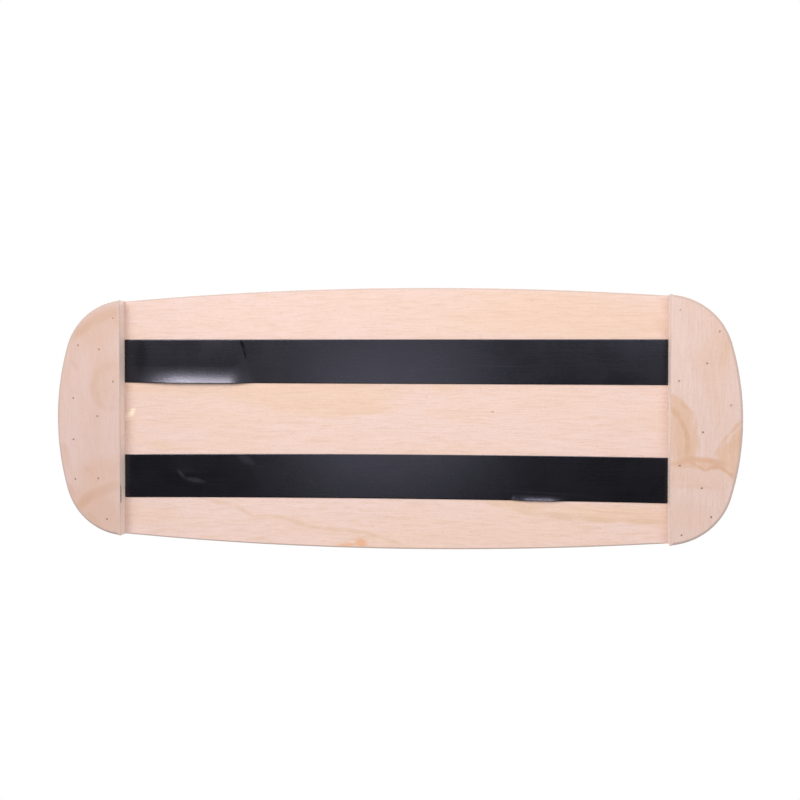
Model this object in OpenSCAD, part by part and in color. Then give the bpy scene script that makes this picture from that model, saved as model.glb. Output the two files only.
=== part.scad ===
// Balance board of the roller type: a barrel-shaped plywood deck with a D-shaped plywood stop
// nailed under each end, and two grip strips on the underside where the roller bears.
// It stands as it is used, standing face up. The origin is at the middle of the footprint, on
// the floor under the stops. X runs along the board and Y across it. Millimetres.

/* [Outline] */
// Distance of the corner arcs' centres from the board's middle, along it
corner_x = 303.36; // [285:0.01:315]
// Distance of the corner arcs' centres from the board's middle, across it
corner_y = 63; // [50:1:75]
// Radius of the four corners
corner_r = 73; // [60:1:85]
// Radius of the long sides
side_r = 4073; // [3500:1:6000]
// Radius of the two ends
end_r = 298; // [280:1:400]

/* [Plywood] */
// Thickness of each face veneer
face_t = 1.5; // [1.3:0.1:1.8]
// Thickness of each inner ply
ply_t = 2.4; // [2.2:0.1:2.6]

/* [End stops] */
// Clear length under the deck between the two stops
stop_gap = 618; // [612:1:640]

/* [Grip strips] */
// Width of each strip
strip_w = 50; // [30:1:60]
// Distance of the front strip's middle line from the board's, at its left end, middle and right end
front_strip_y = [66.2, 64.5, 62.8]; // [45:0.1:75]
// Distance of the rear strip's middle line from the board's, at the same places
rear_strip_y = [67.9, 65.4, 66.6]; // [45:0.1:75]
// Thickness of the strip's film
film_t = 0.8; // [0.5:0.1:1.5]
// Thickness of the adhesive under the film
glue_t = 0.2; // [0.1:0.1:0.4]
// Gap between a strip's end and the stop
strip_end_gap = 0.3; // [0.1:0.1:3]

/* [Brads] */
// Diameter of a brad's shank
shank_d = 1.2; // [1:0.1:1.6]
// Diameter of a brad's head
head_d = 2; // [1.8:0.1:2.6]
// Height of a brad's head
head_h = 0.5; // [0.3:0.1:0.7]
// Depth of the head below the stop's face
sink = 0.4; // [0.2:0.1:0.8]
// Length of a brad
brad_l = 24.6; // [20:0.1:26]
// Clearance around a shank and a head
brad_play = 0.05; // [0.02:0.01:0.1]

/* [Hidden] */
// Bottom to top: face, five inner plies, face. The stops are cut from the same sheet as the deck.
inner_plies = 5;
board_t = 2 * face_t + inner_plies * ply_t;
stop_x = stop_gap / 2;
deck_z = board_t;

// The side arcs and the end arcs touch the corner arcs from inside, which places their centres.
side_y = corner_y - sqrt(pow(side_r - corner_r, 2) - pow(corner_x, 2));
end_x = corner_x - sqrt(pow(end_r - corner_r, 2) - pow(corner_y, 2));
half_l = end_x + end_r;
half_w = side_y + side_r;

// Unit vectors from a corner's centre to the points where its arc meets the side and the end
to_side = [corner_x, corner_y - side_y] / (side_r - corner_r);
to_end = [corner_x - end_x, corner_y] / (end_r - corner_r);
reach = 125;

// Brads of one stop, from the stop's inner face outwards and across the board: hand-nailed, so
// their places only roughly follow a pattern.
left_brads = [[8, -115], [50, -84], [25, -79], [8, -42], [56, -23],
              [27, -2], [56, 25], [26, 70], [54, 71], [16, 117]];
right_brads = [[10, -118], [51, -95], [38, -61], [9, -42], [63, -16],
               [34, 13], [10, 49], [33, 73], [43, 104], [12, 124]];
// Room that a hole leaves over a brad's head and over its point
end_room = 0.1;
hole_top = sink + brad_l + end_room;

// Distance of the adhesive's edges inside the film's
glue_inset = 0.2;
// The strips are laid by hand, so each follows a shallow curve, drawn in this many steps per half
strip_steps = 6;

face_wood = [0.95, 0.83, 0.76];
long_wood = [0.90, 0.77, 0.66];
cross_wood = [0.80, 0.64, 0.52];
strip_black = [0.15, 0.15, 0.18];
glue_grey = [0.55, 0.55, 0.50];
steel = [0.45, 0.42, 0.40];

// ---- Outline ----

// Draws its children in all four quarters of the board.
module quarters() {
    for (sx = [0, 1], sy = [0, 1])
        mirror([sx, 0]) mirror([0, sy]) children();
}

// The rhombus that a corner's arc is drawn in
module corner_wedge() {
    translate([corner_x, corner_y])
        polygon([[0, 0], reach * to_end, reach * (to_end + to_side), reach * to_side]);
}

// The shape between the two side arcs and the two end arcs, with sharp corners
module barrel() {
    intersection() {
        translate([0, side_y]) circle(r = side_r, $fn = 720);
        translate([0, -side_y]) circle(r = side_r, $fn = 720);
        union() {
            translate([end_x, 0]) circle(r = end_r, $fn = 360);
            translate([-end_x, 0]) circle(r = end_r, $fn = 360);
        }
    }
}

// The board's outline: eight arcs, each tangent to the next
module outline() {
    difference() {
        barrel();
        quarters() corner_wedge();
    }
    quarters() intersection() {
        corner_wedge();
        translate([corner_x, corner_y]) circle(r = corner_r, $fn = 180);
    }
}

// The D-shaped end of the outline, on the side that the sign gives
module stop_outline(side) {
    intersection() {
        outline();
        mirror([side < 0 ? 1 : 0, 0])
            translate([stop_x, -half_w - 1]) square([half_l, 2 * half_w + 2]);
    }
}

// ---- Plies ----

// Height of the underside of a ply above the bottom of its sheet; ply 1 is the bottom face.
function ply_bottom(i) = i == 1 ? 0 : face_t + (i - 2) * ply_t;
function ply_thickness(i) = i == 1 || i == inner_plies + 2 ? face_t : ply_t;

// Faces are the palest, and odd plies have the grain of the faces: along X in the deck and along Y
// in the stops, the long way of each piece. Even plies lie across it.
function ply_colour(i) = ply_thickness(i) == face_t ? face_wood
                       : i % 2 == 0 ? cross_wood : long_wood;

// The brads' places on one side, in the board's frame
function brad_places(side) = [for (p = side < 0 ? left_brads : right_brads)
                              [side * (stop_x + p[0]), p[1]]];

// The holes that the brads of one side leave, from the floor up
module brad_holes(side) {
    for (p = brad_places(side)) translate(p) {
        translate([0, 0, -1])
            cylinder(d = head_d + 2 * brad_play, h = 1 + sink + head_h + end_room, $fn = 24);
        cylinder(d = shank_d + 2 * brad_play, h = hole_top, $fn = 24);
    }
}

module deck_ply(i) {
    bottom = deck_z + ply_bottom(i);
    color(ply_colour(i)) difference() {
        translate([0, 0, bottom]) linear_extrude(ply_thickness(i)) outline();
        if (bottom < hole_top) {
            brad_holes(-1);
            brad_holes(1);
        }
    }
}

module stop_ply(side, i) {
    color(ply_colour(i)) difference() {
        translate([0, 0, ply_bottom(i)]) linear_extrude(ply_thickness(i)) stop_outline(side);
        brad_holes(side);
    }
}

// ---- Brads and strips ----

// One brad, its head down and its shank with a blunt point up into the deck
module brad() {
    point_h = 1.2;
    point_r = 0.2;
    color(steel) translate([0, 0, sink]) rotate_extrude($fn = 24)
        polygon([[0, 0], [head_d / 2, 0], [head_d / 2, head_h], [shank_d / 2, head_h],
                 [shank_d / 2, brad_l - point_h], [point_r, brad_l], [0, brad_l]]);
}

module stop_brads(side) {
    for (p = brad_places(side)) translate(p) brad();
}

// Distance of a strip's middle line from the board's, on a parabola through its three values
function strip_line(y, x) =
    let (t = x / stop_x)
    y[1] + t * (y[2] - y[0]) / 2 + t * t * ((y[0] + y[2]) / 2 - y[1]);

// One layer of a strip: its distance below the deck, its thickness and its edges' inset
module strip_layer(side, below, thickness, inset) {
    line = side < 0 ? front_strip_y : rear_strip_y;
    half = stop_x - strip_end_gap - inset;
    half_strip = [0, strip_w / 2 - inset];
    middle = [for (i = [-strip_steps:strip_steps])
              let (x = half * i / strip_steps) [x, side * strip_line(line, x)]];
    translate([0, 0, deck_z - below - thickness]) linear_extrude(thickness)
        polygon([for (p = middle) p - half_strip,
                 for (i = [len(middle) - 1:-1:0]) middle[i] + half_strip]);
}

module grip_strip(side) {
    color(strip_black) strip_layer(side, glue_t, film_t, 0);
}

module strip_adhesive(side) {
    color(glue_grey) strip_layer(side, 0, glue_t, glue_inset);
}

// ---- Nodes ----

deck_ply(1);  // deck_bottom_veneer
deck_ply(2);  // deck_ply_2
deck_ply(3);  // deck_ply_3
deck_ply(4);  // deck_ply_4
deck_ply(5);  // deck_ply_5
deck_ply(6);  // deck_ply_6
deck_ply(7);  // deck_top_veneer

stop_ply(-1, 1);  // left_stop_bottom_veneer
stop_ply(-1, 2);  // left_stop_ply_2
stop_ply(-1, 3);  // left_stop_ply_3
stop_ply(-1, 4);  // left_stop_ply_4
stop_ply(-1, 5);  // left_stop_ply_5
stop_ply(-1, 6);  // left_stop_ply_6
stop_ply(-1, 7);  // left_stop_top_veneer
stop_brads(-1);  // left_stop_brads

stop_ply(1, 1);  // right_stop_bottom_veneer
stop_ply(1, 2);  // right_stop_ply_2
stop_ply(1, 3);  // right_stop_ply_3
stop_ply(1, 4);  // right_stop_ply_4
stop_ply(1, 5);  // right_stop_ply_5
stop_ply(1, 6);  // right_stop_ply_6
stop_ply(1, 7);  // right_stop_top_veneer
stop_brads(1);  // right_stop_brads

grip_strip(-1);  // front_grip_strip
strip_adhesive(-1);  // front_strip_adhesive
grip_strip(1);  // rear_grip_strip
strip_adhesive(1);  // rear_strip_adhesive
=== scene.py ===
"""The looks of a roller-type balance board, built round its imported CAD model.

The board stands as it is used, standing face up, with its stops and grip strips underneath. The
camera looks up at the underside, so the floor is made to show only from above. Everything is in
metres, in the CAD model's frame; X runs along the board and Y across it.
"""

import math

import bmesh
import bpy
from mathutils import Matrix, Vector, geometry, noise


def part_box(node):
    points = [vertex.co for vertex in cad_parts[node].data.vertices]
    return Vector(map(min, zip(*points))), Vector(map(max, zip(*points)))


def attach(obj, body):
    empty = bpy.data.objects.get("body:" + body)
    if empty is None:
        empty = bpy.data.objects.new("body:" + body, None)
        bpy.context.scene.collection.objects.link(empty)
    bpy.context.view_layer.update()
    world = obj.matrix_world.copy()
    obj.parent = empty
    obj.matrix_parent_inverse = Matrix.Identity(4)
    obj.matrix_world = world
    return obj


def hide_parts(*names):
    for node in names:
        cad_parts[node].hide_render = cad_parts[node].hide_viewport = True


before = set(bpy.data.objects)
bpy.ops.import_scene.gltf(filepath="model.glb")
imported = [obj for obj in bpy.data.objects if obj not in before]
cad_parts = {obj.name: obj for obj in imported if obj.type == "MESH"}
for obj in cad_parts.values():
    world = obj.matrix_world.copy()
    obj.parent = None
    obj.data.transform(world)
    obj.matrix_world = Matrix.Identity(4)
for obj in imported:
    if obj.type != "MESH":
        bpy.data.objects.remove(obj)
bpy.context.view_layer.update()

MM = 0.001

# ---- Sizes ----

# Radii of the outline's arcs, each of which touches the next
SIDE_R = 4.073
END_R = 0.298
CORNER_R = 0.073

# The rest of the outline and the heights of the sheets come from the frame.
HALF_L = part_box("deck_top_veneer")[1].x
HALF_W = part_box("deck_top_veneer")[1].y
STOP_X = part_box("right_stop_bottom_veneer")[0].x
DECK_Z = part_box("deck_bottom_veneer")[0].z
TOP_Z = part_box("deck_top_veneer")[1].z

# Distance between the outline's points: on the corners and ends, and on the nearly straight sides
FINE_STEP = 2 * MM
SIDE_STEP = 8 * MM

# Radii that the edges are rounded to by sanding: the stops' outer edges and the arris of their
# inner faces, the deck's lower edge between the stops, and its upper edge
STOP_EDGE_R = 3.5 * MM
STOP_ARRIS_R = 0.5 * MM
DECK_LOW_R = 1.8 * MM
DECK_TOP_R = 2.0 * MM
ROUND_STEPS = 6

# How far a ply's edge wanders inwards, how many times per metre, and the groove at each glue line
EDGE_WANDER = 0.06 * MM
WANDERS = 45
GLUE_GROOVE = 0.05 * MM
GROOVE_HEIGHT = 0.12 * MM

# Height over which a void's floor and ceiling are drawn. Two heights closer than this are one.
LEDGE = 0.01 * MM

# Brad holes, as bored in the CAD model, and the dimple that the punch leaves round a head
HEAD_HOLE_R = 1.05 * MM
HEAD_HOLE_TOP = 1.0 * MM
SHANK_HOLE_R = 0.65 * MM
SHANK_HOLE_TOP = 25.1 * MM
DIMPLE_R = 1.2 * MM
DIMPLE_DEPTH = 0.3 * MM
HOLE_SIDES = 20

# No two points of one brad are further apart across the board, and no two brads are closer.
BRAD_REACH = 3 * MM

SIDES = {"left": -1, "right": 1}
PLY_NAMES = ["bottom_veneer", "ply_2", "ply_3", "ply_4", "ply_5", "ply_6", "top_veneer"]


# ---- Outlines ----

def arc(centre, radius, start, end, step):
    """Points along an arc from one angle to another, without the last."""
    count = max(2, math.ceil(abs(end - start) * radius / step))
    turns = [start + (end - start) * i / count for i in range(count)]
    return [centre + radius * Vector((math.cos(t), math.sin(t))) for t in turns]


def corner_centre():
    """Centre of the first quarter's corner arc, which touches the side arc and the end arc."""
    side, end = Vector((0, HALF_W - SIDE_R)), Vector((HALF_L - END_R, 0))
    to_side, to_end = SIDE_R - CORNER_R, END_R - CORNER_R
    across = end - side
    along = (to_side ** 2 - to_end ** 2 + across.length_squared) / (2 * across.length)
    rise = math.sqrt(to_side ** 2 - along ** 2)
    ahead = across.normalized()
    return side + along * ahead + rise * Vector((ahead.y, -ahead.x))


def board_outline():
    """The board's outline, counter-clockwise from the middle of its right end."""
    side, end, corner = Vector((0, HALF_W - SIDE_R)), Vector((HALF_L - END_R, 0)), corner_centre()
    first = math.atan2(*reversed(corner - end))
    second = math.atan2(*reversed(corner - side))
    quarter = arc(end, END_R, 0, first, FINE_STEP)
    quarter += arc(corner, CORNER_R, first, second, FINE_STEP)
    quarter += arc(side, SIDE_R, second, math.pi / 2, SIDE_STEP)
    upper = quarter + [Vector((0, HALF_W))] + [Vector((-p.x, p.y)) for p in reversed(quarter)]
    return upper + [-p for p in upper[1:-1]]


def stop_outline(side):
    """The end of the board's outline beyond a stop's inner face, counter-clockwise."""
    corner = corner_centre()
    cut_y = corner.y + math.sqrt(CORNER_R ** 2 - (STOP_X - corner.x) ** 2)
    curve = sorted((p for p in board_outline() if p.x > STOP_X + 0.5 * MM), key=lambda p: p.y)
    count = round(2 * cut_y / FINE_STEP)
    face = [Vector((STOP_X, cut_y * (1 - 2 * i / count))) for i in range(count + 1)]
    return [side * p for p in curve + face]


def outward(points):
    """For each point of an outline, the vector that moves both edges beside it outwards by 1."""
    result = []
    for before, here, after in zip(points[-1:] + points[:-1], points, points[1:] + points[:1]):
        first, second = (here - before).normalized(), (after - here).normalized()
        normal = Vector((first.y, -first.x))
        middle = (normal + Vector((second.y, -second.x))).normalized()
        result.append(middle / max(middle.dot(normal), 0.5))
    return result


def smooth(low, high, value):
    """0 at low, 1 at high, and a smooth turn between."""
    t = min(max((value - low) / (high - low), 0), 1)
    return t * t * (3 - 2 * t)


def rounding(radius, depth):
    """How far a rounded edge lies inside the outline, at a depth below the face."""
    if depth >= radius:
        return 0
    return radius - math.sqrt(radius ** 2 - (radius - depth) ** 2)


# ---- Meshes ----

# The angle between faces from which their edge is sharp, and the normal's z of a level face
SHARP_ANGLE = math.radians(35)
LEVEL = 0.99999

# Points closer than this are merged.
MERGE = 1e-7


class Solid:
    """The points and faces of one closed mesh, gathered ring by ring."""

    def __init__(self):
        self.points = []
        self.faces = []

    def ring(self, points):
        """Adds points and returns their numbers."""
        start = len(self.points)
        self.points += [tuple(p) for p in points]
        return list(range(start, len(self.points)))

    def wall(self, low, high):
        """Joins two rings by a band of quads."""
        for i, j in zip(range(len(low)), [*range(1, len(low)), 0]):
            self.faces.append((low[i], low[j], high[j], high[i]))

    def cap(self, outer, holes=()):
        """Fills a level outer ring with triangles, but not the round rings of its holes."""
        rings = [outer, *holes]
        numbers = [n for ring in rings for n in ring]
        owner = [i for i, ring in enumerate(rings) for _ in ring]
        flat = [Vector(self.points[n][:2]) / MM for n in numbers]
        edges, start = [], 0
        for ring in rings:
            edges += [(start + i, start + (i + 1) % len(ring)) for i in range(len(ring))]
            start += len(ring)
        _, _, triangles, origin, _, _ = geometry.delaunay_2d_cdt(flat, edges, [], 1, 1e-6)
        for triangle in triangles:
            corners = [origin[i][0] for i in triangle]
            touched = {owner[i] for i in corners}
            if len(touched) > 1 or 0 in touched:
                self.faces.append(tuple(numbers[i] for i in corners))

    def build(self, name):
        """Makes the object: normals outwards, level faces flat, the rest smooth to SHARP_ANGLE."""
        mesh = bpy.data.meshes.new(name)
        mesh.from_pydata(self.points, [], self.faces)
        shape = bmesh.new()
        shape.from_mesh(mesh)
        bmesh.ops.remove_doubles(shape, verts=shape.verts, dist=MERGE)
        bmesh.ops.dissolve_degenerate(shape, edges=shape.edges, dist=MERGE)
        bmesh.ops.recalc_face_normals(shape, faces=shape.faces)
        shape.to_mesh(mesh)
        shape.free()
        mesh.set_sharp_from_angle(angle=SHARP_ANGLE)
        for face in mesh.polygons:
            face.use_smooth = abs(face.normal.z) < LEVEL
        piece = bpy.data.objects.new(name, mesh)
        bpy.context.scene.collection.objects.link(piece)
        return piece


def brad_places(node):
    """The axes of a group of brads, from the corners of their CAD mesh."""
    groups = []
    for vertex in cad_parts[node].data.vertices:
        place = vertex.co.to_2d()
        near = next((g for g in groups if (g[0] - place).length < BRAD_REACH), None)
        if near is None:
            groups.append([place])
        else:
            near.append(place)
    return [Vector((min(p.x for p in g) + max(p.x for p in g),
                    min(p.y for p in g) + max(p.y for p in g))) / 2 for g in groups]


BRADS = {name: brad_places(f"{name}_stop_brads") for name in SIDES}


def hole_rings(low, high):
    """(height, radius) up a brad hole within a ply. It ends below the top where it is blind."""
    rings = []
    if low < HEAD_HOLE_TOP:
        rings += [(low, DIMPLE_R), (low + DIMPLE_DEPTH, HEAD_HOLE_R), (HEAD_HOLE_TOP, HEAD_HOLE_R)]
    start = max(low, HEAD_HOLE_TOP)
    return rings + [(start, SHANK_HOLE_R), (min(high, SHANK_HOLE_TOP), SHANK_HOLE_R)]


def circle(centre, radius, height):
    """A level ring of points round a hole's axis."""
    turns = [2 * math.pi * i / HOLE_SIDES for i in range(HOLE_SIDES)]
    return [(centre.x + radius * math.cos(t), centre.y + radius * math.sin(t), height)
            for t in turns]


def bore(solid, centre, low, high):
    """Adds a brad hole's wall. Returns its openings in the ply's lower and upper faces."""
    steps = hole_rings(low, high)
    rings = [solid.ring(circle(centre, radius, height)) for height, radius in steps]
    for ring, following in zip(rings, rings[1:]):
        solid.wall(ring, following)
    if steps[-1][0] < high:
        solid.cap(rings[-1])
        return rings[0], None
    return rings[0], rings[-1]


class Void:
    """A gap that a short veneer left in the edge of a ply: its middle, its length along Y, its
    lowest and highest point, and its depth."""

    def __init__(self, x, y, length, low, high, depth):
        self.x, self.y, self.length = x, y, length
        self.low, self.high, self.depth = low, high, depth

    def depth_at(self, point):
        """Its depth at a point of the outline. It runs out towards its two ends."""
        if abs(point.x - self.x) > 1 * MM:
            return 0
        away = abs(point.y - self.y) / (self.length / 2)
        return self.depth * (1 - smooth(0.75, 1.0, away))


def edge_heights(low, high, void):
    """The heights that a ply's edge is drawn at, each with the depth of the glue groove there."""
    heights = {low: GLUE_GROOVE, low + GROOVE_HEIGHT: 0, high - GROOVE_HEIGHT: 0, high: GLUE_GROOVE}
    for step in range(1, ROUND_STEPS + 1):
        depth = 1 - math.cos(math.pi / 2 * step / ROUND_STEPS)
        rounds = (STOP_EDGE_R * depth, DECK_Z + DECK_LOW_R * depth, TOP_Z - DECK_TOP_R * depth)
        heights.update({h: 0 for h in rounds if low + GROOVE_HEIGHT < h < high - GROOVE_HEIGHT})

    # No groove at the outside of a sheet
    heights.update({h: 0 for h in (low, high) if min(h, abs(h - DECK_Z), TOP_Z - h) < LEDGE})
    if void:
        ledges = (void.low, void.low + LEDGE, void.high - LEDGE, void.high)
        heights.update({h: 0 for h in ledges})
    return heights


def ply_piece(name, node, outline, inset, holes, void=None):
    """A ply of an outline, whose edge lies inside it by inset(point, height), with brad holes."""
    low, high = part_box(node)[0].z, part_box(node)[1].z
    heights = edge_heights(low, high, void)
    normals = outward(outline)
    seed = low / MM

    def edge(height):
        places = []
        for point, normal in zip(outline, normals):
            wander = noise.noise(Vector((point.x * WANDERS, point.y * WANDERS, seed)))
            depth = inset(point, height) + heights[height] + (0.5 + 0.5 * wander) * EDGE_WANDER
            if void and void.low < height < void.high:
                depth += void.depth_at(point)
            places.append((*(point - depth * normal), height))
        return places

    solid = Solid()
    rings = [solid.ring(edge(height)) for height in sorted(heights)]
    for ring, following in zip(rings, rings[1:]):
        solid.wall(ring, following)
    bored = [bore(solid, centre, low, high) for centre in holes if low < SHANK_HOLE_TOP]
    solid.cap(rings[0], [lower for lower, _ in bored])
    solid.cap(rings[-1], [upper for _, upper in bored if upper])
    piece = solid.build(name)
    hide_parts(node)
    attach(piece, "root")
    return piece


# ---- Shaders ----

def plug(links, socket, value):
    """Links a node's output to a socket, or sets the socket to a constant."""
    if isinstance(value, bpy.types.NodeSocket):
        links.new(value, socket)
    else:
        socket.default_value = value


class Shader:
    """One material's node tree. Each call adds a node and returns its output."""

    def __init__(self, name):
        self.material = bpy.data.materials.new(name)
        self.material.use_nodes = True
        self.nodes = self.material.node_tree.nodes
        self.links = self.material.node_tree.links
        self.nodes.clear()
        self.surface = self.nodes.new("ShaderNodeBsdfPrincipled")
        self.output = self.nodes.new("ShaderNodeOutputMaterial")
        self.links.new(self.surface.outputs[0], self.output.inputs[0])
        coordinates = self.nodes.new("ShaderNodeTexCoord").outputs
        self.place = coordinates["Object"]
        self.within = coordinates["Generated"]
        self.normal = coordinates["Normal"]

    def add(self, kind, inputs, output=0, **settings):
        node = self.nodes.new(kind)
        for setting, value in settings.items():
            setattr(node, setting, value)
        for key, value in inputs.items():
            plug(self.links, node.inputs[key], value)
        return node.outputs[output]

    def drive(self, name, value):
        """Links or sets one of the surface's inputs."""
        plug(self.links, self.surface.inputs[name], value)

    def math(self, operation, first, second=0.0, clamp=False):
        return self.add("ShaderNodeMath", {0: first, 1: second}, operation=operation,
                        use_clamp=clamp)

    def vector(self, operation, first, second=(0, 0, 0), output=0):
        return self.add("ShaderNodeVectorMath", {0: first, 1: second}, output,
                        operation=operation)

    def split(self, vector):
        node = self.nodes.new("ShaderNodeSeparateXYZ")
        self.links.new(vector, node.inputs[0])
        return node.outputs

    def join(self, x, y, z):
        return self.add("ShaderNodeCombineXYZ", {0: x, 1: y, 2: z})

    def mapped(self, vector, location=(0, 0, 0), turn=0.0, scale=(1, 1, 1), kind="POINT"):
        inputs = {"Vector": vector, "Location": location, "Rotation": (0, 0, turn), "Scale": scale}
        return self.add("ShaderNodeMapping", inputs, vector_type=kind)

    def noise(self, vector, scale=1.0, detail=2.0, rough=0.5, output=0):
        inputs = {"Vector": vector, "Scale": scale, "Detail": detail, "Roughness": rough}
        return self.add("ShaderNodeTexNoise", inputs, output)

    def step(self, value, low, high, to_low=0.0, to_high=1.0):
        """A smooth step: to_low at low, to_high at high."""
        inputs = {"Value": value, "From Min": low, "From Max": high, "To Min": to_low,
                  "To Max": to_high}
        return self.add("ShaderNodeMapRange", inputs, interpolation_type="SMOOTHSTEP")

    def mix(self, factor, first, second, blend="MIX"):
        """Mixes two colours."""
        return self.add("ShaderNodeMix", {0: factor, 6: first, 7: second}, 2, data_type="RGBA",
                        blend_type=blend)

    def any_of(self, masks):
        """The strongest of several masks."""
        result = masks[0]
        for mask in masks[1:]:
            result = self.math("MAXIMUM", result, mask)
        return result

    def finish(self, roughness, colour, height, bump, **constants):
        """Drives the roughness, the colour and a relief, sets the constants by their inputs' names,
        and returns the material. Where an input is driven too, its constant is a fallback."""
        bumps = {"Height": height, "Distance": bump, "Strength": 1.0}
        self.drive("Base Color", colour)
        self.drive("Roughness", roughness)
        self.drive("Normal", self.add("ShaderNodeBump", bumps))
        for name, value in constants.items():
            self.surface.inputs[name.replace("_", " ")].default_value = value
        return self.material


def rgb(red, green, blue):
    return (red, green, blue, 1.0)


# ---- Wood ----

class Stroke:
    """A streak on a level face, between two points in millimetres, with a width on each side. It
    is at its full strength over the share solid of its width, and fades out from there."""

    def __init__(self, start, end, width, strength=1.0, solid=0.25, colour=None):
        start, end = Vector(start) * MM, Vector(end) * MM
        self.solid = solid
        self.colour = colour
        self.middle = (start + end) / 2
        self.reach = (end - start).length / 2 + width * MM
        self.width = width * MM
        self.turn = math.atan2(end.y - start.y, end.x - start.x)
        self.strength = strength

    def mask(self, shader, place):
        inside = shader.mapped(place, (*self.middle, 0), self.turn,
                               (self.reach, self.width, 1.0), "TEXTURE")
        away = shader.vector("LENGTH", inside, output=1)
        return shader.step(away, self.solid, 1.0, self.strength, 0.0)


# The deck's wood, then the left stop's and the right stop's, which are a little darker
PALE = rgb(0.715, 0.532, 0.490)
WARM = rgb(0.705, 0.495, 0.390)
VEIN = rgb(0.600, 0.400, 0.270)
LEFT_PALE = rgb(0.600, 0.440, 0.405)
LEFT_WARM = rgb(0.575, 0.385, 0.310)
LEFT_VEIN = rgb(0.520, 0.325, 0.230)
RIGHT_PALE = rgb(0.632, 0.474, 0.430)
RIGHT_WARM = rgb(0.600, 0.398, 0.300)
RIGHT_VEIN = rgb(0.540, 0.325, 0.215)

# Cut edges, painted shade on the rounded corners, glue lines, open pores, knots, bright fibres
# and dried glue
CUT = rgb(0.840, 0.680, 0.610)
RIM_SHADE = rgb(0.460, 0.360, 0.325)
GLUE = rgb(0.260, 0.160, 0.095)
PORE = rgb(0.330, 0.210, 0.150)
KNOT = rgb(0.700, 0.345, 0.185)
DARK_KNOT = rgb(0.400, 0.240, 0.160)
GLEAM = rgb(0.780, 0.620, 0.580)
SMEAR = rgb(0.900, 0.760, 0.610)


def cut_edges(s, along, colour, streaks, fibres):
    """Colours a ply's cut edge: end grain where the fibres end, painted shade on the rounded edges
    and a brown line along each glue line. Returns the colour, and a mask of the walls."""
    facing = s.split(s.vector("ABSOLUTE", s.normal))
    wall = s.step(facing[2], 0.30, 0.99, 1.0, 0.0)
    end = s.step(facing[0 if along == "X" else 1], 0.45, 0.95)
    colour = s.mix(s.math("MULTIPLY", wall, 0.50), colour, CUT)
    dots = s.step(fibres, 0.35, 0.65, 0.30, 0.05)
    colour = s.mix(s.math("MULTIPLY", end, dots), colour, s.mix(streaks, CUT, PORE))
    # Painted shade: the rounded edges, which turn away from the light, are darkened by their tilt
    turning = s.step(facing[2], 0.45, 0.85)
    rim_shade = s.math("MULTIPLY", turning, s.step(facing[2], 0.97, 1.0, 1.0, 0.0))
    colour = s.mix(s.math("MULTIPLY", rim_shade, 0.70), colour, RIM_SHADE)
    from_middle = s.math("ABSOLUTE", s.math("SUBTRACT", s.split(s.within)[2], 0.5))
    glue = s.math("MULTIPLY", s.step(from_middle, 0.43, 0.485), wall)
    return s.mix(s.math("MULTIPLY", glue, 0.5), colour, GLUE), wall


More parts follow.
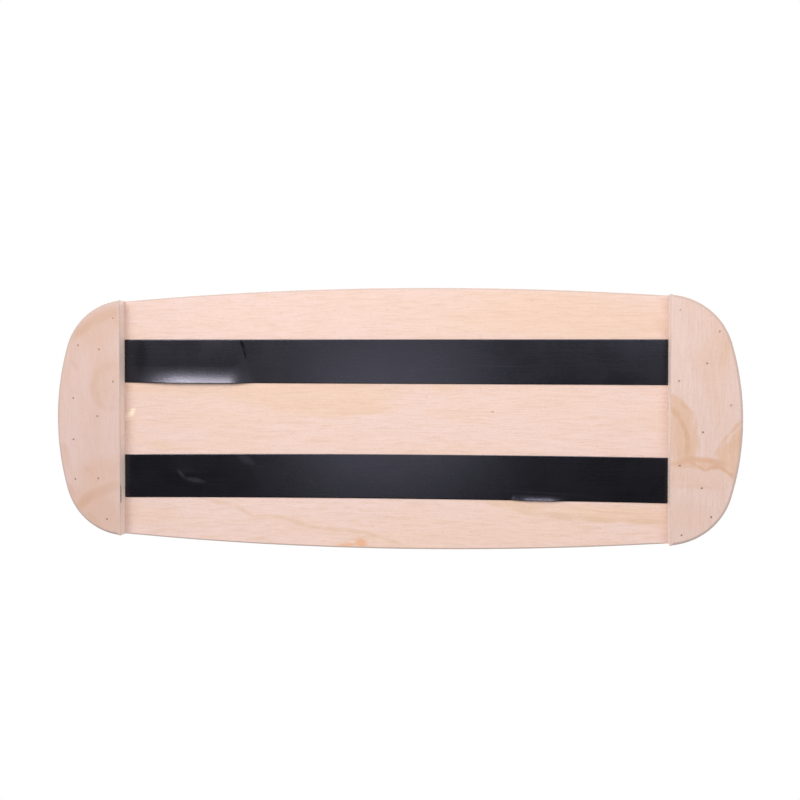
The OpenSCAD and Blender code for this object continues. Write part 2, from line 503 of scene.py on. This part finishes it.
def wood(name, along, seed, colours, rings, streaky=1.0, zones=(), veins=(), knots_and_shade=(), smears=()):
    """Sanded, unvarnished plywood veneer. along is its grain's axis, seed the place in the log that
    it was cut from, rings and streaky the strengths of its growth rings and streaks, and the rest
    is figure of its face, except that the knot spots may also carry painted shade."""
    pale, warm, vein = colours
    s = Shader(name)

    # The place on the face, wobbled a little, and the place in the log, with X along its grain
    wobble = s.vector("SUBTRACT", s.noise(s.place, 14.0, 2.0, output=1), (0.5, 0.5, 0.5))
    face = s.vector("ADD", s.place, s.vector("MULTIPLY", wobble, (0.012, 0.012, 0)))
    x, y, z = s.split(s.place)
    turned = s.join(x, y, z) if along == "X" else s.join(y, x, z)
    grain = s.vector("ADD", turned, (seed, 2 * seed, 3 * seed))
    grain = s.vector("ADD", grain, s.vector("MULTIPLY", wobble, (0.0, 0.010, 0)))

    def stretched(length, width):
        return s.mapped(grain, scale=(1 / length, 1 / width, 1 / width))

    # Patterns along the grain, each of a length and width. The rings rise slowly and end sharply.
    tone = s.noise(stretched(0.20, 0.05), detail=2.0)
    streaks = s.noise(stretched(0.024, 0.0013), detail=3.0, rough=0.60)
    fibres = s.noise(stretched(0.004, 0.00028), detail=2.0)
    pores = s.step(s.noise(stretched(0.0030, 0.00035), detail=1.0), 0.64, 0.74)
    growth = s.noise(stretched(0.42, 0.10), detail=1.0)
    phase = s.math("FRACT", s.math("MULTIPLY", growth, 16.0))
    late = s.math("MULTIPLY", s.step(phase, 0.15, 0.80), s.step(phase, 0.86, 0.98, 1.0, 0.0))

    colour = s.mix(s.step(tone, 0.40, 0.66, 0.0, 0.45), pale, warm)
    for mark in zones:
        colour = s.mix(mark.mask(s, face), colour, warm)
    colour = s.mix(s.math("MULTIPLY", late, rings), colour, vein)
    uneven = s.step(streaks, 0.25, 0.65, 0.6, 1.0)
    for mark in veins:
        colour = s.mix(s.math("MULTIPLY", mark.mask(s, face), uneven), colour, vein)
    for mark in knots_and_shade:
        colour = s.mix(mark.mask(s, s.place), colour, mark.colour or KNOT)
    for mark in smears:
        colour = s.mix(mark.mask(s, s.place), colour, SMEAR)
    colour = s.mix(s.step(streaks, 0.32, 0.54, 0.45 * streaky, 0.0), colour, vein)
    colour = s.mix(s.step(streaks, 0.55, 0.70, 0.0, 0.25 * streaky), colour, GLEAM)
    colour = s.mix(s.step(fibres, 0.35, 0.65, 0.20 * streaky, 0.0), colour, vein)
    colour = s.mix(s.math("MULTIPLY", pores, 0.40), colour, PORE)
    colour, wall = cut_edges(s, along, colour, streaks, fibres)

    # Raised fibres, open pores, and saw scratches on the walls
    scratches = s.noise(s.mapped(s.place, scale=(40, 40, 3500)), detail=2.0)
    relief = s.math("ADD", s.math("MULTIPLY", fibres, 0.6), s.math("MULTIPLY", streaks, 0.5))
    relief = s.math("SUBTRACT", relief, s.math("MULTIPLY", pores, 0.8))
    relief = s.math("ADD", relief, s.math("MULTIPLY", s.math("MULTIPLY", scratches, wall), 0.6))
    rough = s.math("ADD", s.step(streaks, 0.2, 0.8, 0.50, 0.62), s.math("MULTIPLY", wall, 0.12))
    return s.finish(rough, colour, relief, bump=0.06 * MM, Specular_IOR_Level=0.35)


# The figure of the faces. Zones are warmer wood, veins the dark edges of the growth rings, knots
# small dark spots, and smears dried glue.
DECK_ZONES = [
    Stroke((60, -112), (330, -112), 42, 0.85), Stroke((180, -90), (330, -100), 30, 0.5),
    Stroke((40, -140), (300, -124), 16, 0.5), Stroke((-215, -31), (30, -26), 18, 0.85, 0.55),
    Stroke((-150, -14), (20, -12), 14, 0.9, 0.55), Stroke((-330, -36), (290, -38), 7, 0.6),
    Stroke((-340, -38), (-190, -31), 15, 0.7), Stroke((-320, 24), (-210, 38), 9, 0.6),
    Stroke((40, -10), (130, 8), 10, 0.3), Stroke((112, 91), (190, 98), 9, 0.9, 0.5),
    Stroke((176, 98), (320, 109), 11, 0.95, 0.55), Stroke((-330, 110), (-230, 118), 18, 0.4),
    Stroke((-60, 130), (60, 142), 12, 0.4), Stroke((-10, 100), (60, 108), 10, 0.3)]
DECK_VEINS = [
    Stroke((-211, 95), (-174, 100.5), 3.5, 0.45), Stroke((-176, 99), (-164, 107), 3.5, 0.50),
    Stroke((-166, 105), (-154, 112), 4, 0.45), Stroke((-158, 112), (-131, 112.5), 3.5, 0.45),
    Stroke((-136, 111.5), (-113, 116.5), 4, 0.50), Stroke((-117, 115), (-93, 123), 5, 0.60),
    Stroke((-97, 121.5), (-73, 127), 4, 0.55), Stroke((-77, 126), (-50, 127.5), 3.5, 0.55),
    Stroke((-54, 126.5), (-26, 131), 3.5, 0.55), Stroke((-30, 129.5), (-7, 136), 3.5, 0.55),
    Stroke((-10, 134.5), (19, 144.5), 3.5, 0.50), Stroke((-148, 138.5), (-140, 139), 1.6, 0.60),
    Stroke((104, 90), (133, 98), 3.5, 0.45), Stroke((131, 97), (178, 106), 3.5, 0.50),
    Stroke((174, 104), (212, 110), 5.5, 0.70), Stroke((207, 109), (260, 111), 5.5, 0.70),
    Stroke((255, 110), (312, 116), 5.5, 0.70), Stroke((120, 92), (180, 99), 5, 0.30),
    Stroke((190, 97), (309, 106), 1.6, 0.50), Stroke((232, 93), (309, 99), 1.4, 0.40),
    Stroke((292, -116), (312, -92), 9, 0.30), Stroke((-210, -20), (-60, -12), 3, 0.22),
    Stroke((-100, -8), (30, -5), 2.5, 0.22), Stroke((240, -118), (290, -112), 3, 0.25)]
DECK_KNOTS = [
    Stroke((-33, 141), (-27, 142), 7.0, 0.90, 0.25), Stroke((-60, 145), (-34, 143), 3.4, 0.70),
    Stroke((-17, 121), (-16.5, 123), 1.4, 0.5), Stroke((296, -27), (298, -26), 1.3, 0.4),
    Stroke((117, -8), (119.5, -8), 1.7, 0.8, 0.25, DARK_KNOT)]
DECK_SMEARS = [Stroke((-303.5, -3), (-298, -10), 4.0, 1.0), Stroke((-309, 1), (-299, -7), 6, 0.45)]
LEFT_ZONES = [
    Stroke((-352, -96), (-316, -112), 34, 0.75), Stroke((-330, -70), (-318, -56), 26, 0.55),
    Stroke((-332, -40), (-322, -26), 20, 0.45), Stroke((-350, 66), (-314, 60), 26, 0.75),
    Stroke((-360, 96), (-320, 110), 34, 0.85), Stroke((-382, 30), (-372, 60), 12, 0.5)]
LEFT_VEINS = [
    Stroke((-364, -94), (-341, -110), 9, 0.85), Stroke((-346, -107), (-306, -127), 10, 0.65),
    Stroke((-316, -124), (-311, -106), 7, 0.35), Stroke((-337, -18), (-342, -38), 9, 0.50),
    Stroke((-341, -36), (-335, -54), 8, 0.40), Stroke((-335, -54), (-316, -62), 8, 0.30),
    Stroke((-338, -18), (-327, -8), 6, 0.35), Stroke((-326, -8), (-312, -9), 6, 0.20),
    Stroke((-310, 76), (-332, 86), 9, 0.60), Stroke((-330, 84), (-350, 94), 10, 0.65),
    Stroke((-346, 90), (-361, 106), 9, 0.85), Stroke((-372, 74), (-364, 94), 4, 0.55),
    Stroke((-340, 66), (-352, 56), 4, 0.35), Stroke((-368, -66), (-360, -56), 5, 0.35),
    Stroke((-377, 28), (-371, 44), 4, 0.35), Stroke((-350, 108), (-330, 128), 6, 0.45)]
LEFT_KNOTS = [
    Stroke((-342, 66), (-341, 67), 1.0, 0.5), Stroke((-359, -60), (-358, -59), 1.0, 0.5),
    Stroke((-329, -92), (-328, -90), 1.0, 0.4), Stroke((-352, 40), (-351, 42), 0.9, 0.4)]
RIGHT_ZONES = [
    Stroke((304, -26), (327, -6), 9, 1.0, 0.75), Stroke((324, 2), (326, 38), 14, 1.0, 0.75),
    Stroke((310, -6), (312, 34), 10, 0.7, 0.60), Stroke((384, 14), (376, 38), 11, 1.0, 0.75),
    Stroke((370, 30), (364, 46), 9, 1.0, 0.70), Stroke((382, 30), (380, 56), 12, 0.9, 0.60),
    Stroke((306, 44), (376, 48), 8, 0.9, 0.60), Stroke((300, 60), (384, 66), 16, 0.35),
    Stroke((340, -60), (372, -80), 30, 0.35), Stroke((316, 100), (350, 106), 24, 0.25)]
RIGHT_VEINS = [
    Stroke((309, -15), (319, -2), 4.5, 0.90), Stroke((318.5, -3), (324.5, 10), 4.5, 1.0),
    Stroke((324, 9), (326, 21), 4.5, 1.0), Stroke((326, 20), (326, 38), 4.5, 0.95),
    Stroke((314.5, -22), (334.5, -7), 2.4, 0.45), Stroke((334.5, -8), (337, 12), 2.4, 0.45),
    Stroke((337, 10), (340, 38), 2.4, 0.35), Stroke((384, -2), (371, 14), 3.6, 0.70),
    Stroke((371.5, 13), (362, 27), 3.2, 0.55), Stroke((363, 26), (355, 39), 3.2, 0.55),
    Stroke((386, 12), (378, 30), 7.0, 0.50), Stroke((318, 41), (345, 42), 5.0, 0.80),
    Stroke((338, 42), (356, 42), 4.0, 0.60), Stroke((345, 43), (368, 46), 4.5, 0.80),
    Stroke((300, 45), (316, 45), 2.5, 0.40), Stroke((313, 44.5), (330, 44.5), 2.6, 0.55),
    Stroke((329, 44.5), (338, 48.5), 2.6, 0.80), Stroke((337.5, 48.5), (346.5, 54), 2.6, 0.80),
    Stroke((346, 54), (353, 49.5), 2.6, 0.85), Stroke((352, 49.5), (363, 49.5), 3.6, 1.0),
    Stroke((362.5, 49.5), (371.5, 56), 3.6, 1.0), Stroke((371, 55.5), (377, 61.5), 3.6, 0.90),
    Stroke((371, -100), (366, -66), 4, 0.35), Stroke((300, 68), (372, 74), 3, 0.25)]
RIGHT_KNOTS = [Stroke((340, 42), (352, 43), 2.0, 0.35), Stroke((331, -2), (332, 0), 1.0, 0.4)]


# Specular level of the film, and in its folds
FILM_GLOSS = 0.6
FOLD_GLOSS = 0.1


def film():
    """Black satin film: a fine emboss, long drawing lines, a few scuffs and duller folds."""
    s = Shader("strip_film")
    blotches = s.noise(s.place, 30.0, 3.0)
    lines = s.noise(s.mapped(s.place, scale=(6, 500, 500)), detail=3.0)
    emboss = s.noise(s.place, 1400.0, 2.0)
    marks = [Stroke((-245, 60), (-237, 70), 3, 0.7), Stroke((-237, 70), (-212, 74), 4, 0.8),
             Stroke((-92, 66), (-80, 80), 0.7, 0.8), Stroke((-172, 44), (-155, 52), 6, 0.5),
             Stroke((-99, 64), (-98, 64), 1.0, 0.9), Stroke((110, 78), (250, 86), 1.2, 0.3),
             Stroke((60, -60), (180, -58), 1.0, 0.25), Stroke((-60, -78), (20, -74), 1.2, 0.25)]
    folds = [Stroke((-171, -93), (-165, -77), 3.4, 0.85, 0.1),
             Stroke((-167, -82), (-163, -66), 2.2, 0.85, 0.1),
             Stroke((-288, -94), (-290, -46), 12.0, 0.40),
             Stroke((-270, -88), (-300, -80), 4.0, 0.20)]
    scuffs = s.any_of([mark.mask(s, s.place) for mark in marks])
    dimmed = s.any_of([mark.mask(s, s.place) for mark in folds])
    s.drive("Specular IOR Level", s.step(dimmed, 0.0, 1.0, FILM_GLOSS, FOLD_GLOSS))
    colour = s.mix(blotches, rgb(0.0018, 0.0018, 0.0022), rgb(0.0032, 0.0031, 0.0040))
    colour = s.mix(s.math("MULTIPLY", scuffs, 0.25), colour, rgb(0.05, 0.05, 0.055))
    rough = s.step(blotches, 0.3, 0.7, 0.25, 0.28)
    rough = s.math("ADD", rough, s.step(lines, 0.3, 0.7, 0.0, 0.02))
    rough = s.math("ADD", rough, s.math("MULTIPLY", scuffs, 0.10))
    relief = s.math("ADD", emboss, s.math("MULTIPLY", lines, 0.15))
    return s.finish(rough, colour, relief, bump=0.012 * MM, Specular_IOR_Level=FILM_GLOSS,
                    Specular_Tint=rgb(0.78, 0.76, 1.0))


def adhesive():
    """The tape's adhesive, dull and slightly lumpy where it shows at the film's edges."""
    s = Shader("strip_adhesive")
    lumps = s.noise(s.place, 900.0, 3.0)
    dust = s.step(s.noise(s.place, 150.0, 4.0), 0.5, 0.8)
    colour = s.mix(lumps, rgb(0.16, 0.155, 0.14), rgb(0.30, 0.29, 0.25))
    colour = s.mix(s.math("MULTIPLY", dust, 0.5), colour, rgb(0.45, 0.38, 0.30))
    return s.finish(s.step(lumps, 0.3, 0.7, 0.45, 0.65), colour, lumps, bump=0.05 * MM)


def steel():
    """Dulled brad wire, with brown tarnish and hammer marks."""
    s = Shader("brad_steel")
    tarnish = s.step(s.noise(s.place, 700.0, 4.0), 0.40, 0.65)
    dents = s.noise(s.place, 1800.0, 2.0)
    drawn = s.noise(s.mapped(s.place, scale=(9000, 9000, 120)), detail=2.0)
    colour = s.mix(tarnish, rgb(0.40, 0.32, 0.28), rgb(0.24, 0.16, 0.12))
    rough = s.step(tarnish, 0.0, 1.0, 0.38, 0.62)
    relief = s.math("ADD", dents, s.math("MULTIPLY", drawn, 0.4))
    return s.finish(rough, colour, relief, bump=0.05 * MM, Metallic=0.5)


# ---- Plywood ----

def stop_inset(point, height):
    """The rounding of a stop's lower edge: broad outside, and only an arris at the inner face."""
    inner = 1 - smooth(0.5 * MM, 4 * MM, abs(point.x) - STOP_X)
    return rounding(STOP_EDGE_R + (STOP_ARRIS_R - STOP_EDGE_R) * inner, height)


def deck_inset(point, height):
    """The rounding of the deck's edges. The lower one stops where a stop is glued on."""
    low_r = DECK_LOW_R * (1 - smooth(STOP_X - 12 * MM, STOP_X - 1 * MM, abs(point.x)))
    below = rounding(low_r, height - DECK_Z) if low_r > 0.01 * MM else 0
    return below + rounding(DECK_TOP_R, TOP_Z - height)


def wear(piece, material):
    """Gives a piece its one material."""
    piece.data.materials.clear()
    piece.data.materials.append(material)


DECK_COLOURS = (PALE, WARM, VEIN)
LEFT_COLOURS = (LEFT_PALE, LEFT_WARM, LEFT_VEIN)
RIGHT_COLOURS = (RIGHT_PALE, RIGHT_WARM, RIGHT_VEIN)
CORE_COLOURS = (rgb(0.90, 0.73, 0.66), rgb(0.86, 0.68, 0.60), rgb(0.72, 0.53, 0.41))

# The gap in the second ply of the left stop, which shows in its inner face, and the painted shade
# in it
STOP_VOID = Void(-STOP_X, 0.088, 0.022, 1.53 * MM, 3.70 * MM, 5.0 * MM)
# Painted shade: the gap's recess is coloured dark where it lies in shade
GAP_SHADE = Stroke((-311, 79), (-311, 97), 4.0, 0.9, 0.7, rgb(0.060, 0.035, 0.025))

cores = {axis: wood(f"core_ply_{axis.lower()}", axis, 5.3 if axis == "X" else 8.1, CORE_COLOURS,
                    0.25, 0.5) for axis in "XY"}
deck_under = wood("deck_under_veneer", "X", 1.7, DECK_COLOURS, 0.05, 1.0, DECK_ZONES, DECK_VEINS,
                  DECK_KNOTS, DECK_SMEARS)
deck_over = wood("deck_over_veneer", "X", 3.1, DECK_COLOURS, 0.45)
stop_under = {"left": wood("left_stop_veneer", "Y", 6.9, LEFT_COLOURS, 0.08, 0.45, LEFT_ZONES,
                           LEFT_VEINS, LEFT_KNOTS),
              "right": wood("right_stop_veneer", "Y", 9.4, RIGHT_COLOURS, 0.08, 0.6, RIGHT_ZONES,
                            RIGHT_VEINS, RIGHT_KNOTS)}
# Its knot spots carry the painted shade of the gap
gapped_core = wood("gapped_core_ply", "X", 8.1, CORE_COLOURS, 0.25, 0.5, knots_and_shade=[GAP_SHADE])
stop_over = wood("stop_top_veneer", "Y", 4.4, RIGHT_COLOURS, 0.2)
brad_material = steel()

outline = board_outline()
all_brads = BRADS["left"] + BRADS["right"]
for number, ply in enumerate(PLY_NAMES, 1):
    piece = ply_piece(f"deck_{ply}_wood", f"deck_{ply}", outline, deck_inset, all_brads)
    grain_material = cores["X" if number % 2 else "Y"]
    wear(piece, {1: deck_under, 7: deck_over}.get(number, grain_material))

for name, side in SIDES.items():
    outline = stop_outline(side)
    for number, ply in enumerate(PLY_NAMES, 1):
        void = STOP_VOID if (name, number) == ("left", 2) else None
        piece = ply_piece(f"{name}_stop_{ply}_wood", f"{name}_stop_{ply}", outline, stop_inset,
                          BRADS[name], void)
        grain_material = gapped_core if void else cores["Y" if number % 2 else "X"]
        wear(piece, {1: stop_under[name], 7: stop_over}.get(number, grain_material))
    wear(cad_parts[f"{name}_stop_brads"], brad_material)


# ---- Grip strips ----

# The strips' width, and how far their middle lines lie from the board's at the left end, the middle
# and the right end. They are hand-laid, so each follows a shallow curve.
STRIP_W = 50 * MM
FRONT_LINE = (-66.2 * MM, -64.5 * MM, -62.8 * MM)
REAR_LINE = (67.9 * MM, 65.4 * MM, 66.6 * MM)

# Width and height of the film's rolled long edges
SHOULDER = 0.9 * MM
SHOULDER_DROP = 0.3 * MM

# Distance between a film's points along it, in its busy stretch and elsewhere
BUSY_STEP = 0.5 * MM
QUIET_STEP = 5 * MM

# Distances of a film's points from each long edge, in millimetres. Between these the points are
# spread evenly, from the first even distance at one edge to the same distance at the other.
EDGE_OFFSETS = [0, 0.3, 0.6, 1.0, 1.6]
FIRST_EVEN = 2.6
EVEN_STEPS = 44


def front_lift(x, across):
    """How far the front film stands off the deck, and how far its rear edge has crept outwards.
    across runs from 0 at the front edge to 1 at the rear edge."""
    curl = smooth(-0.312, -0.242, x) * (1 - smooth(-0.184, -0.152, x))
    edge = max(0, (across - 0.56) / 0.44) ** 2.3
    end = x + 0.012 * (1 - across) ** 2
    bubble = smooth(-0.250, -0.175, x) * (1 - smooth(-0.168, -0.158, end))
    body = bubble * math.sin(math.pi * min(max(across, 0), 1)) * 0.15 * MM
    ripple = 0.12 * MM * noise.noise(Vector((x * 600, across * 30, 3)))
    ripple *= smooth(-0.290, -0.265, x) * (1 - smooth(-0.245, -0.215, x)) * edge
    return body + curl * edge * 2.5 * MM + ripple, curl * edge * 1.0 * MM


def rear_lift(x, across):
    """The same for the rear film. Its rear edge stands up at the right, and it has a low fold at
    the left."""
    lip = smooth(0.138, 0.158, x) * (1 - smooth(0.178, 0.206, x))
    kink = smooth(0.139, 0.143, x) * (1 - smooth(0.145, 0.149, x))
    edge = max(0, (across - 0.87) / 0.13) ** 1.8
    fold = smooth(-0.250, -0.240, x) * (1 - smooth(-0.238, -0.205, x))
    fold *= smooth(0.30, 0.45, across) * (1 - smooth(0.45, 0.85, across))
    return (lip + 0.4 * kink) * edge * 1.6 * MM + fold * 0.25 * MM, lip * edge * 0.5 * MM


def stations(low, high, busy):
    """Places along a strip, close together within the busy stretch."""
    places = [low]
    while places[-1] < high - 1 * MM:
        near = busy[0] - QUIET_STEP < places[-1] < busy[1] + QUIET_STEP
        places.append(min(places[-1] + (BUSY_STEP if near else QUIET_STEP), high))
    places[-1] = high
    return places


def strip_line(line, x):
    """Y of a strip's middle line, on a parabola through its three values."""
    left, middle, right = line
    t = x / STOP_X
    return middle + t * (right - left) / 2 + t * t * ((left + right) / 2 - middle)


def film_piece(name, node, line, lift, busy, material):
    """A strip of film as one thin closed sheet that follows its line and lift(x, across)."""
    low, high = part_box(node)
    width = STRIP_W / MM
    even = [FIRST_EVEN + (width - 2 * FIRST_EVEN) * i / EVEN_STEPS for i in range(EVEN_STEPS + 1)]
    across = [p * MM for p in [*EDGE_OFFSETS, *even, *[width - p for p in reversed(EDGE_OFFSETS)]]]
    solid = Solid()
    rings = []
    for x in stations(low.x, high.x, busy):
        outer, inner_side = [], []
        front = strip_line(line, x) - STRIP_W / 2
        for offset in across:
            rise, creep = lift(x, offset / STRIP_W)
            near = min(offset, STRIP_W - offset)
            drop = SHOULDER_DROP * (1 - math.sqrt(max(0, 1 - (1 - min(near / SHOULDER, 1)) ** 2)))
            y = front + offset + creep
            outer.append((x, y, low.z + drop - rise))
            inner_side.append((x, y, high.z - rise))
        rings.append(solid.ring(outer + inner_side[::-1]))
    for ring, following in zip(rings, rings[1:]):
        solid.wall(ring, following)
    count = len(across)
    for ring in (rings[0], rings[-1]):
        for i in range(count - 1):
            solid.faces.append((ring[i], ring[i + 1], ring[-2 - i], ring[-1 - i]))
    piece = solid.build(name)
    wear(piece, material)
    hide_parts(node)
    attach(piece, "root")
    return piece


film_material, adhesive_material = film(), adhesive()
film_piece("front_strip_film", "front_grip_strip", FRONT_LINE, front_lift, (-0.275, -0.155),
           film_material)
film_piece("rear_strip_film", "rear_grip_strip", REAR_LINE, rear_lift, (0.135, 0.210),
           film_material)
for name in ("front", "rear"):
    wear(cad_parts[f"{name}_strip_adhesive"], adhesive_material)


# ---- Studio ----

def floor():
    """A pale floor that shows from above only, so that the camera below sees the underside. It has
    a painted shadow in the gap under the deck, where the lamps below would light it through the
    deck."""
    s = Shader("studio_floor")
    tone = s.noise(s.place, 3.0, 3.0)
    x, y, _ = s.split(s.vector("ABSOLUTE", s.place))
    across = s.math("ADD", y, s.math("MULTIPLY", s.math("MULTIPLY", x, x), 0.5 / SIDE_R))
    # Painted shadow: the floor is made dark under the deck, between the stops
    gap = s.math("MULTIPLY", s.step(across, HALF_W - 50 * MM, HALF_W - 2 * MM, 1.0, 0.0),
                 s.step(x, STOP_X, STOP_X + 30 * MM, 1.0, 0.0))
    pale = s.mix(tone, rgb(0.74, 0.74, 0.74), rgb(0.79, 0.79, 0.79))
    colour = s.mix(gap, pale, rgb(0.08, 0.08, 0.08))
    s.finish(0.8, colour, tone, bump=0.1 * MM, Specular_IOR_Level=0.2)
    behind = s.add("ShaderNodeNewGeometry", {}, "Backfacing")
    clear = s.add("ShaderNodeBsdfTransparent", {})
    both = s.add("ShaderNodeMixShader", {0: behind, 1: s.surface.outputs[0], 2: clear})
    s.links.new(both, s.output.inputs[0])
    mesh = bpy.data.meshes.new("floor")
    half, below = 60.0, -0.5 * MM
    mesh.from_pydata([(-half, -half, below), (half, -half, below), (half, half, below),
                      (-half, half, below)], [], [(0, 1, 2, 3)])
    mesh.materials.append(s.material)
    piece = bpy.data.objects.new("floor", mesh)
    bpy.context.scene.collection.objects.link(piece)
    piece.visible_shadow = False
    piece.visible_diffuse = False
    piece.visible_glossy = False
    piece.visible_transmission = False


def backdrop(light, gloss):
    """A white surround to look at, a dimmer one to light the board and a dark one to mirror."""
    world = bpy.data.worlds.new("studio")
    bpy.context.scene.world = world
    world.use_nodes = True
    nodes, links = world.node_tree.nodes, world.node_tree.links
    rays = nodes.new("ShaderNodeLightPath").outputs
    shade = rgb(light, light, light)
    for ray, tone in (("Is Glossy Ray", gloss), ("Is Camera Ray", 1)):
        mix = nodes.new("ShaderNodeMix")
        mix.data_type = "RGBA"
        plug(links, mix.inputs[0], rays[ray])
        plug(links, mix.inputs[6], shade)
        plug(links, mix.inputs[7], rgb(tone, tone, tone))
        shade = mix.outputs[2]
    links.new(shade, nodes["Background"].inputs["Color"])


def softbox(name, place, target, size, power, glossy=True, diffuse=True, colour=(1, 1, 1)):
    """A rectangular lamp that faces its target, with the second of its sizes upright. It may be
    there for the gloss only or for the diffuse light only."""
    lamp = bpy.data.lights.new(name, "AREA")
    lamp.shape = "RECTANGLE"
    lamp.size, lamp.size_y = size
    lamp.energy = power
    lamp.color = colour
    piece = bpy.data.objects.new(name, lamp)
    bpy.context.scene.collection.objects.link(piece)
    piece.location = place
    piece.rotation_euler = (Vector(target) - Vector(place)).to_track_quat("-Z", "Y").to_euler()
    piece.visible_glossy = glossy
    piece.visible_diffuse = diffuse


def skylight(name, direction, strength):
    """A broad light from far above, even over the whole floor."""
    lamp = bpy.data.lights.new(name, "SUN")
    lamp.energy = strength
    lamp.angle = math.radians(30)
    piece = bpy.data.objects.new(name, lamp)
    bpy.context.scene.collection.objects.link(piece)
    piece.rotation_euler = Vector(direction).to_track_quat("Z", "Y").to_euler()


def camera():
    """Looks up at the underside, a little from the right and the front."""
    aim = Vector((0.0143, -0.0211, DECK_Z))
    distance = 1.016
    aside, ahead = math.radians(6.35), math.radians(-0.76)
    back = Vector((math.sin(aside) * math.cos(ahead), math.sin(ahead),
                   -math.cos(aside) * math.cos(ahead)))
    right = Vector((0, -1, 0)).cross(back).normalized()
    up = back.cross(right)
    lens = bpy.data.cameras.new("camera")
    lens.lens, lens.sensor_width = 40.5, 36.0
    piece = bpy.data.objects.new("camera", lens)
    bpy.context.scene.collection.objects.link(piece)
    matrix = piece.matrix_world.to_3x3()
    matrix.col[0], matrix.col[1], matrix.col[2] = right, up, back
    piece.matrix_world = matrix.to_4x4()
    piece.location = aim + distance * back
    bpy.context.scene.camera = piece


floor()
backdrop(0.60, 0.07)
camera()
MIDDLE = (0, 0, DECK_Z)
softbox("key_below", (-1.4, -1.6, -2.3), MIDDLE, (1.6, 1.6), 40)
softbox("top_below", (0.0, -1.15, -1.15), MIDDLE, (1.4, 0.7), 11.3)
softbox("fill_below", (0.9, -0.2, -1.3), MIDDLE, (0.8, 0.8), 4.0, glossy=False)
softbox("sheen_below", (-0.135, 0.02, -1.12), MIDDLE, (0.34, 0.40), 1.0, diffuse=False)
softbox("left_rake_below", (-1.8, 0.0, -0.25), MIDDLE, (1.2, 0.3), 6, glossy=False)
softbox("right_rake_below", (1.8, 0.0, -0.25), MIDDLE, (1.2, 0.3), 4, glossy=False)
softbox("curl_below", (-0.62, -0.62, -1.12), (-0.2, 0, 0), (0.34, 0.20), 7.0, diffuse=False,
        colour=(1.0, 0.95, 0.84))
softbox("haze_below", (0.45, -0.50, -1.12), (0.2, 0, 0), (1.1, 0.16), 7.5, diffuse=False)
skylight("key_above", (0.35, -0.50, 1.0), 1.9)
skylight("fill_above", (-0.60, 0.40, 1.0), 0.5)
bpy.context.scene.view_settings.view_transform = "Standard"
